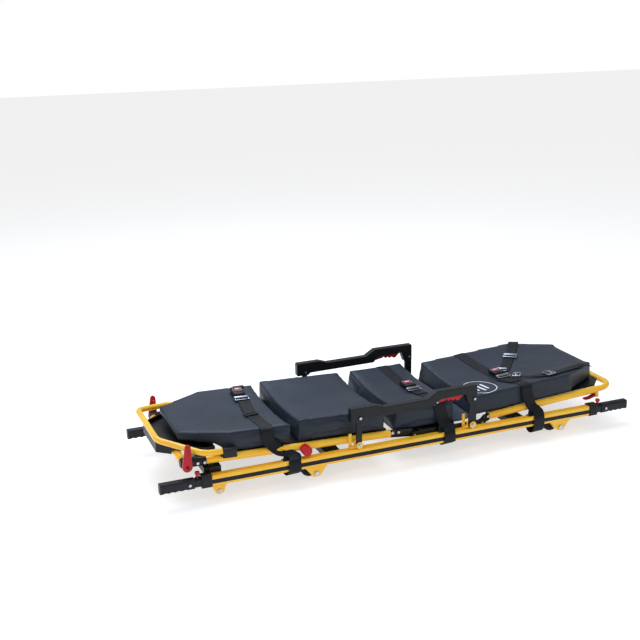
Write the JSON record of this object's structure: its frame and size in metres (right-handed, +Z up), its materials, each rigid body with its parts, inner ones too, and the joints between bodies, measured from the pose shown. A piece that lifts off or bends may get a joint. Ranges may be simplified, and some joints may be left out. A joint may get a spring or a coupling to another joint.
{
  "type": "stretcher top",
  "caption": "Padded stretcher deck on side rails with raisable leg section and backrest, folding side guards, sliding carrying handles, small wheels and restraint belts.",
  "frame": {"origin": "on the floor in the middle of the footprint", "axes": "+X towards the head end along the rails, +Y towards the patient's right, +Z up"},
  "size_m": [1.95, 0.583, 0.2828],
  "materials": {
    "yellow_frame": "warm yellow powder coat",
    "black_insert": "ribbed dark strip",
    "black_plastic": "moulded black nylon",
    "black_metal": "black powder coat",
    "rubber_buffer": "black rubber",
    "steel_hardware": "zinc plated steel",
    "vinyl_pad": "charcoal vinyl, fine grain",
    "webbing": "black polyester webbing",
    "buckle_plastic": "black moulded plastic",
    "red_plastic": "red moulded plastic",
    "handle_grip": "black moulded grip",
    "wheel_tyre": "black polyurethane"
  },
  "bodies": {
    "root": {"rail_left": "yellow_frame", "rail_right": "yellow_frame", "rail_inserts": "black_insert", "end_collars": "black_plastic", "cross_members": "black_metal", "stop_buffers": "rubber_buffer", "wheel_brackets": "yellow_frame", "axles_and_bolts": "steel_hardware", "guard_lugs": "yellow_frame", "seat_side_plates": "black_metal", "seat_board": "black_metal", "seat_pad": "vinyl_pad", "seat_belt": "webbing", "seat_buckle": "buckle_plastic", "rail_wraps": "webbing"},
    "leg_section": {"leg_frame": "yellow_frame", "leg_end_fittings": "black_plastic", "leg_hinge_arms": "black_metal", "foot_loop": "yellow_frame", "foot_tray": "black_plastic", "leg_board": "black_metal", "leg_pad": "vinyl_pad", "thigh_pad": "vinyl_pad", "leg_belt": "webbing", "leg_buckle": "buckle_plastic"},
    "backrest": {"back_side_tubes": "yellow_frame", "head_loop": "yellow_frame", "back_hinge_arms": "black_metal", "back_board": "black_metal", "back_pad": "vinyl_pad", "chest_harness": "webbing", "chest_buckle": "buckle_plastic"},
    "handle_foot_left": {"handle_foot_left": "handle_grip"},
    "plunger_foot_left": {"plunger_foot_left": "red_plastic"},
    "wheel_foot_left": {"wheel_foot_left": "wheel_tyre"},
    "handle_head_left": {"handle_head_left": "handle_grip"},
    "plunger_head_left": {"plunger_head_left": "red_plastic"},
    "wheel_head_left": {"wheel_head_left": "wheel_tyre"},
    "guard_post_foot_left": {"guard_post_foot_left": "black_metal"},
    "guard_post_head_left": {"guard_post_head_left": "black_metal"},
    "guard_bar_left": {"guard_bar_left": "black_plastic"},
    "guard_trigger_left": {"guard_trigger_left": "red_plastic"},
    "end_lever_left": {"end_lever_left": "red_plastic"},
    "handle_foot_right": {"handle_foot_right": "handle_grip"},
    "plunger_foot_right": {"plunger_foot_right": "red_plastic"},
    "wheel_foot_right": {"wheel_foot_right": "wheel_tyre"},
    "handle_head_right": {"handle_head_right": "handle_grip"},
    "plunger_head_right": {"plunger_head_right": "red_plastic"},
    "wheel_head_right": {"wheel_head_right": "wheel_tyre"},
    "guard_post_foot_right": {"guard_post_foot_right": "black_metal"},
    "guard_post_head_right": {"guard_post_head_right": "black_metal"},
    "guard_bar_right": {"guard_bar_right": "black_plastic"},
    "guard_trigger_right": {"guard_trigger_right": "red_plastic"},
    "end_lever_right": {"end_lever_right": "red_plastic"},
    "foot_rollers": {"foot_rollers": "rubber_buffer"},
    "knee_knob": {"knee_knob": "red_plastic"},
    "release_lever": {"release_lever": "red_plastic"},
    "leg_buckle_button": {"leg_buckle_button": "red_plastic"},
    "seat_buckle_button": {"seat_buckle_button": "red_plastic"},
    "chest_buckle_button": {"chest_buckle_button": "red_plastic"}
  },
  "joints": [
    {"name": "leg_raise", "type": "hinge", "parent": "root", "child": "leg_section", "pos_m": [0.018, 0, 0.103], "axis": [0, 1, 0], "range_deg": [0, 15]},
    {"name": "backrest_raise", "type": "hinge", "parent": "root", "child": "backrest", "pos_m": [0.312, 0, 0.103], "axis": [0, -1, 0], "range_deg": [0, 70]},
    {"name": "handle_foot_left_slide", "type": "slide", "parent": "root", "child": "handle_foot_left", "axis": [-1, 0, 0], "range_m": [0, 0.15]},
    {"name": "plunger_foot_left_pull", "type": "slide", "parent": "root", "child": "plunger_foot_left", "axis": [0, 0, 1], "range_m": [0, 0.006], "stiffness_N_per_m": 400},
    {"name": "wheel_foot_left_spin", "type": "hinge", "parent": "root", "child": "wheel_foot_left", "pos_m": [-0.39699, -0.205, 0.039], "axis": [0, 1, 0], "continuous": true},
    {"name": "handle_head_left_slide", "type": "slide", "parent": "root", "child": "handle_head_left", "axis": [1, 0, 0], "range_m": [0, 0.15]},
    {"name": "plunger_head_left_pull", "type": "slide", "parent": "root", "child": "plunger_head_left", "axis": [0, 0, 1], "range_m": [0, 0.006], "stiffness_N_per_m": 400},
    {"name": "wheel_head_left_spin", "type": "hinge", "parent": "root", "child": "wheel_head_left", "pos_m": [0.65501, -0.205, 0.039], "axis": [0, 1, 0], "continuous": true},
    {"name": "guard_fold_left", "type": "hinge", "parent": "root", "child": "guard_post_foot_left", "pos_m": [-0.2264, -0.2745, 0.1195], "axis": [0, -1, 0], "range_deg": [0, 75]},
    {"name": "guard_head_post_left_swing", "type": "hinge", "parent": "root", "child": "guard_post_head_left", "pos_m": [0.2496, -0.2745, 0.1195], "axis": [0, -1, 0], "range_deg": [0, 75]},
    {"name": "guard_bar_left_level", "type": "hinge", "parent": "guard_post_foot_left", "child": "guard_bar_left", "pos_m": [-0.2264, -0.2745, 0.2288], "axis": [0, -1, 0], "range_deg": [-75, 0]},
    {"name": "guard_trigger_left_squeeze", "type": "hinge", "parent": "guard_bar_left", "child": "guard_trigger_left", "pos_m": [0.09, -0.2745, 0.239], "axis": [0, -1, 0], "range_deg": [0, 4], "stiffness_Nm_per_rad": 2},
    {"name": "end_lever_left_pull", "type": "hinge", "parent": "leg_section", "child": "end_lever_left", "pos_m": [-0.87104, -0.262, 0.14561], "axis": [0, -1, 0], "range_deg": [0, 25], "stiffness_Nm_per_rad": 3},
    {"name": "handle_foot_right_slide", "type": "slide", "parent": "root", "child": "handle_foot_right", "axis": [-1, 0, 0], "range_m": [0, 0.15]},
    {"name": "plunger_foot_right_pull", "type": "slide", "parent": "root", "child": "plunger_foot_right", "axis": [0, 0, 1], "range_m": [0, 0.006], "stiffness_N_per_m": 400},
    {"name": "wheel_foot_right_spin", "type": "hinge", "parent": "root", "child": "wheel_foot_right", "pos_m": [-0.39699, 0.205, 0.039], "axis": [0, 1, 0], "continuous": true},
    {"name": "handle_head_right_slide", "type": "slide", "parent": "root", "child": "handle_head_right", "axis": [1, 0, 0], "range_m": [0, 0.15]},
    {"name": "plunger_head_right_pull", "type": "slide", "parent": "root", "child": "plunger_head_right", "axis": [0, 0, 1], "range_m": [0, 0.006], "stiffness_N_per_m": 400},
    {"name": "wheel_head_right_spin", "type": "hinge", "parent": "root", "child": "wheel_head_right", "pos_m": [0.65501, 0.205, 0.039], "axis": [0, 1, 0], "continuous": true},
    {"name": "guard_fold_right", "type": "hinge", "parent": "root", "child": "guard_post_foot_right", "pos_m": [-0.2264, 0.2745, 0.1195], "axis": [0, -1, 0], "range_deg": [0, 75]},
    {"name": "guard_head_post_right_swing", "type": "hinge", "parent": "root", "child": "guard_post_head_right", "pos_m": [0.2496, 0.2745, 0.1195], "axis": [0, -1, 0], "range_deg": [0, 75]},
    {"name": "guard_bar_right_level", "type": "hinge", "parent": "guard_post_foot_right", "child": "guard_bar_right", "pos_m": [-0.2264, 0.2745, 0.2288], "axis": [0, -1, 0], "range_deg": [-75, 0]},
    {"name": "guard_trigger_right_squeeze", "type": "hinge", "parent": "guard_bar_right", "child": "guard_trigger_right", "pos_m": [0.09, 0.2745, 0.239], "axis": [0, -1, 0], "range_deg": [0, 4], "stiffness_Nm_per_rad": 2},
    {"name": "end_lever_right_pull", "type": "hinge", "parent": "leg_section", "child": "end_lever_right", "pos_m": [-0.87104, 0.262, 0.14561], "axis": [0, -1, 0], "range_deg": [0, 25], "stiffness_Nm_per_rad": 3},
    {"name": "foot_rollers_spin", "type": "hinge", "parent": "root", "child": "foot_rollers", "pos_m": [-0.763, 0, 0.043], "axis": [0, 1, 0], "continuous": true},
    {"name": "knee_knob_pull", "type": "slide", "parent": "leg_section", "child": "knee_knob", "axis": [0, -1, 0], "range_m": [0, 0.01], "stiffness_N_per_m": 600},
    {"name": "release_lever_squeeze", "type": "hinge", "parent": "backrest", "child": "release_lever", "pos_m": [0.85131, -0.23, 0.13092], "axis": [0, 1, 0], "range_deg": [0, 8], "stiffness_Nm_per_rad": 2},
    {"name": "leg_buckle_button_press", "type": "slide", "parent": "leg_section", "child": "leg_buckle_button", "axis": [-0.0364, 0.1117, -0.9931], "range_m": [0, 0.002], "stiffness_N_per_m": 500},
    {"name": "seat_buckle_button_press", "type": "slide", "parent": "root", "child": "seat_buckle_button", "axis": [0, -0.0075, -1], "range_m": [0, 0.002], "stiffness_N_per_m": 500},
    {"name": "chest_buckle_button_press", "type": "slide", "parent": "backrest", "child": "chest_buckle_button", "axis": [0.0628, -0.03, -0.9976], "range_m": [0, 0.002], "stiffness_N_per_m": 500}
  ],
  "couplings": [
    {"joint": "guard_head_post_left_swing", "follows": "guard_fold_left", "ratio": 1},
    {"joint": "guard_bar_left_level", "follows": "guard_fold_left", "ratio": -1},
    {"joint": "guard_head_post_right_swing", "follows": "guard_fold_right", "ratio": 1},
    {"joint": "guard_bar_right_level", "follows": "guard_fold_right", "ratio": -1}
  ]
}
